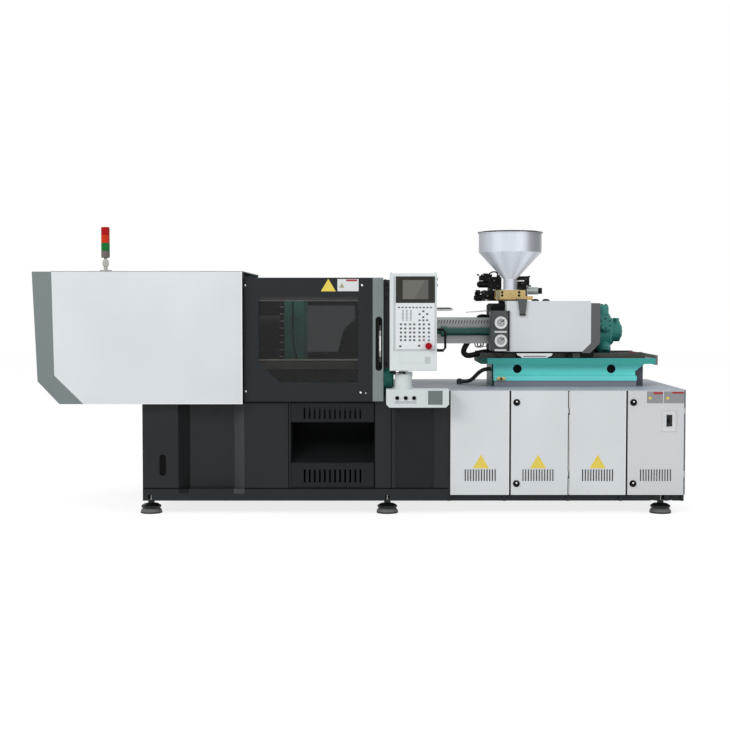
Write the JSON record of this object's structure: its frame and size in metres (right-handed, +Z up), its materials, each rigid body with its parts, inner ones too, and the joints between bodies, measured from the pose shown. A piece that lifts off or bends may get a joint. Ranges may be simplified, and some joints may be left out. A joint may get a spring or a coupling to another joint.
{
  "type": "injection moulding machine",
  "caption": "Horizontal injection moulding machine with a sliding safety gate over the clamp, a swivelling control panel, a hopper-fed injection unit on a turquoise bed and a steel cabinet base",
  "frame": {"origin": "centre of the whole machine's box in plan, on the floor under the levelling feet", "axes": "X from the clamp end to the injection end, Y from the operator's side to the rear, Z up"},
  "size_m": [4.3, 1.515, 1.903],
  "materials": {
    "cover_white": "satin light grey-white powder coat",
    "cover_grey": "satin mid grey powder coat",
    "base_grey": "satin anthracite paint",
    "frame_dark": "satin black paint",
    "trim_dark": "satin dark grey paint",
    "bed_teal": "gloss turquoise paint",
    "cast_green": "gloss dark green paint on castings",
    "ground_steel": "hard-chromed, ground",
    "bright_steel": "brushed stainless steel",
    "guard_steel": "bare sheet steel, matt",
    "dark_steel": "machined dark steel",
    "black_steel": "black enamel",
    "gold_anodised": "gold anodised, satin",
    "black_plastic": "moulded, fine grain",
    "lamp_plastic": "translucent coloured lenses",
    "signal_red": "red moulding",
    "window_glass": "dark tinted polycarbonate",
    "hose_rubber": "black, lightly sheened",
    "rubber": "black foot pads"
  },
  "bodies": {
    "machine_base": {"clamp_base": "base_grey", "base_panels": "base_grey", "cabinet_frame": "frame_dark", "cabinet_top": "cover_white", "cabinet_fixed_panels": "cover_white", "cabinet_rear_shell": "cover_white", "levelling_feet": "rubber", "fixed_platen": "cast_green", "tail_platen": "cast_green", "tie_bars": "ground_steel", "clamp_cylinder": "cast_green", "clamp_front_cover": "cover_white", "clamp_rear_cover": "cover_white", "clamp_end_cover": "cover_grey", "gate_frames": "base_grey", "console_box": "cover_white", "panel_pedestal": "cover_white", "injection_bed": "bed_teal", "bed_rails": "dark_steel", "conduit_hose": "hose_rubber", "tower_light_base": "black_plastic", "pump_unit": "cast_green", "electrical_plate": "bright_steel"},
    "front_gate": {"front_gate": "base_grey", "front_gate_window": "window_glass"},
    "rear_gate": {"rear_gate": "base_grey"},
    "left_door": {"cabinet_door_left": "cover_white"},
    "right_door": {"cabinet_door_right": "cover_white"},
    "lock_left_low": {"door_lock_left_low": "black_plastic"},
    "lock_left_high": {"door_lock_left_high": "black_plastic"},
    "lock_right_low": {"door_lock_right_low": "black_plastic"},
    "lock_right_high": {"door_lock_right_high": "black_plastic"},
    "main_switch": {"main_switch_lever": "black_plastic"},
    "clamp_platen": {"moving_platen": "cast_green", "clamp_ram": "ground_steel"},
    "operator_panel": {"control_panel": "cover_white", "panel_fascia": "trim_dark", "panel_handle": "black_plastic"},
    "estop": {"estop_button": "signal_red"},
    "panel_lock": {"panel_lock_lever": "black_plastic"},
    "button_left": {"console_button_left": "black_plastic"},
    "button_middle": {"console_button_middle": "black_plastic"},
    "button_right": {"console_button_right": "black_plastic"},
    "injection_carriage": {"injection_housing": "dark_steel", "injection_cover": "cover_white", "cover_end_trim": "trim_dark", "gauge_panel": "trim_dark", "pressure_gauges": "bright_steel", "barrel": "dark_steel", "barrel_guard": "guard_steel", "pull_in_cylinders": "cast_green", "hopper_base_plate": "gold_anodised", "valve_stack": "black_steel", "feed_hose": "hose_rubber"},
    "screw_drive": {"hydraulic_motor": "cast_green"},
    "plasticising_screw": {"screw": "ground_steel"},
    "hopper_unit": {"hopper": "bright_steel", "hopper_slide_block": "gold_anodised"},
    "lid": {"hopper_lid": "bright_steel"},
    "signal_tower": {"tower_light_column": "lamp_plastic"}
  },
  "joints": [
    {"name": "front_gate_slide", "type": "slide", "parent": "machine_base", "child": "front_gate", "axis": [-1, 0, 0], "range_m": [0, 0.7]},
    {"name": "rear_gate_slide", "type": "slide", "parent": "machine_base", "child": "rear_gate", "axis": [-1, 0, 0], "range_m": [0, 0.7]},
    {"name": "left_door_hinge", "type": "hinge", "parent": "machine_base", "child": "left_door", "pos_m": [1.3775, -0.5595, 0.473], "axis": [0, 0, 1], "range_deg": [0, 110]},
    {"name": "right_door_hinge", "type": "hinge", "parent": "machine_base", "child": "right_door", "pos_m": [2.144, -0.5595, 0.473], "axis": [0, 0, 1], "range_deg": [0, 110]},
    {"name": "lock_left_low_turn", "type": "hinge", "parent": "left_door", "child": "lock_left_low", "pos_m": [1.032, -0.5625, 0.203], "axis": [0, 1, 0], "range_deg": [-90, 0]},
    {"name": "lock_left_high_turn", "type": "hinge", "parent": "left_door", "child": "lock_left_high", "pos_m": [1.032, -0.5625, 0.742], "axis": [0, 1, 0], "range_deg": [-90, 0]},
    {"name": "lock_right_low_turn", "type": "hinge", "parent": "right_door", "child": "lock_right_low", "pos_m": [1.804, -0.5625, 0.203], "axis": [0, 1, 0], "range_deg": [-90, 0]},
    {"name": "lock_right_high_turn", "type": "hinge", "parent": "right_door", "child": "lock_right_high", "pos_m": [1.804, -0.5625, 0.742], "axis": [0, 1, 0], "range_deg": [-90, 0]},
    {"name": "main_switch_throw", "type": "hinge", "parent": "right_door", "child": "main_switch", "pos_m": [2.03, -0.5715, 0.622], "axis": [1, 0, 0], "range_deg": [-25, 25]},
    {"name": "clamp_stroke", "type": "slide", "parent": "machine_base", "child": "clamp_platen", "axis": [1, 0, 0], "range_m": [0, 0.3]},
    {"name": "panel_swivel", "type": "hinge", "parent": "machine_base", "child": "operator_panel", "pos_m": [0.281, -0.6175, 0.95], "axis": [0, 0, 1], "range_deg": [-40, 90]},
    {"name": "estop_press", "type": "slide", "parent": "operator_panel", "child": "estop", "axis": [0, 1, 0], "range_m": [0, 0.004], "stiffness_N_per_m": 2500, "springref_m": -0.002},
    {"name": "panel_lock_turn", "type": "hinge", "parent": "machine_base", "child": "panel_lock", "pos_m": [0.286, -0.6625, 0.945], "axis": [0, 0, 1], "range_deg": [0, 60]},
    {"name": "button_left_press", "type": "slide", "parent": "machine_base", "child": "button_left", "axis": [0, 1, 0], "range_m": [0, 0.003], "stiffness_N_per_m": 1200, "springref_m": -0.002},
    {"name": "button_middle_press", "type": "slide", "parent": "machine_base", "child": "button_middle", "axis": [0, 1, 0], "range_m": [0, 0.003], "stiffness_N_per_m": 1200, "springref_m": -0.002},
    {"name": "button_right_press", "type": "slide", "parent": "machine_base", "child": "button_right", "axis": [0, 1, 0], "range_m": [0, 0.003], "stiffness_N_per_m": 1200, "springref_m": -0.002},
    {"name": "carriage_slide", "type": "slide", "parent": "machine_base", "child": "injection_carriage", "axis": [-1, 0, 0], "range_m": [0, 0.2]},
    {"name": "injection_stroke", "type": "slide", "parent": "injection_carriage", "child": "screw_drive", "axis": [1, 0, 0], "range_m": [0, 0.15]},
    {"name": "screw_spin", "type": "hinge", "parent": "screw_drive", "child": "plasticising_screw", "pos_m": [0.87, 0.0675, 1.2], "axis": [1, 0, 0], "continuous": true},
    {"name": "hopper_slide", "type": "slide", "parent": "injection_carriage", "child": "hopper_unit", "axis": [1, 0, 0], "range_m": [0, 0.06]},
    {"name": "lid_lift", "type": "slide", "parent": "hopper_unit", "child": "lid", "axis": [0, 0, 1], "range_m": [0, 0.25]},
    {"name": "tower_fold", "type": "hinge", "parent": "machine_base", "child": "signal_tower", "pos_m": [-1.675, -0.5725, 1.667], "axis": [0, 1, 0], "range_deg": [0, 90]}
  ]
}
